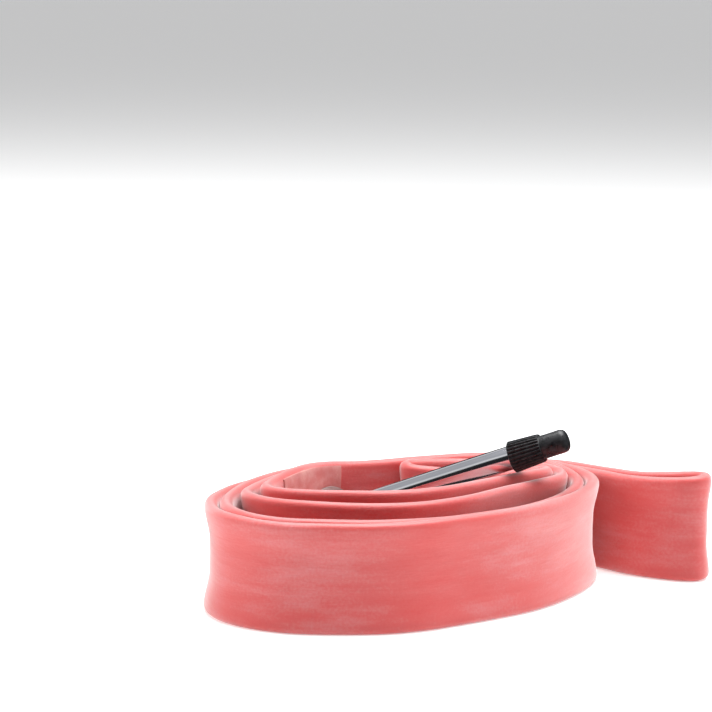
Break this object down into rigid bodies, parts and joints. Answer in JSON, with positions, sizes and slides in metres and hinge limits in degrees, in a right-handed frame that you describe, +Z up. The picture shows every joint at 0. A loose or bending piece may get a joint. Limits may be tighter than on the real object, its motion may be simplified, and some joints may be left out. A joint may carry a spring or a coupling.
{
  "type": "inner tube",
  "caption": "Latex bicycle inner tube pressed flat, doubled and wound into a standing coil, with a smooth leaning valve stem, removable core and ribbed dust cap.",
  "frame": {"origin": "on the table, under the middle of the box round the whole object", "axes": "+X along the longest side, towards the free loop on the right; +Y away from the viewer; +Z up, along the strap's height"},
  "size_m": [0.1262, 0.0972, 0.0405],
  "materials": {
    "latex": "satin, pink latex",
    "latex_patch": "matt, dusted with talc",
    "ring_rubber": "matt pale grey",
    "foot_rubber": "matt dark red",
    "stem_plate": "polished",
    "core_metal": "nickel plated, satin",
    "seal_rubber": "matt black",
    "cap_plastic": "semi-gloss black"
  },
  "bodies": {
    "tube": {"tube_body": "latex", "valve_patch": "latex_patch", "base_ring": "ring_rubber", "valve_foot": "foot_rubber", "valve_stem": "stem_plate"},
    "core": {"core_body": "core_metal", "core_gasket": "seal_rubber"},
    "cap": {"dust_cap": "cap_plastic"},
    "pin": {"core_pin": "core_metal", "pin_seal": "seal_rubber"},
    "nut": {"lock_nut": "core_metal"}
  },
  "joints": [
    {"name": "core_unscrew", "type": "slide", "parent": "tube", "child": "core", "axis": [0.9092, -0.22, 0.3535], "range_m": [0, 0.024]},
    {"name": "cap_pull", "type": "slide", "parent": "core", "child": "cap", "axis": [0.9092, -0.22, 0.3535], "range_m": [0, 0.02]},
    {"name": "pin_press", "type": "slide", "parent": "core", "child": "pin", "axis": [0.9092, -0.22, 0.3535], "range_m": [-0.0015, 0]},
    {"name": "nut_unscrew", "type": "slide", "parent": "pin", "child": "nut", "axis": [0.9092, -0.22, 0.3535], "range_m": [0, 0.003]}
  ],
  "couplings": [
    {"joint": "pin_press", "follows": "nut_unscrew", "ratio": -0.5}
  ]
}
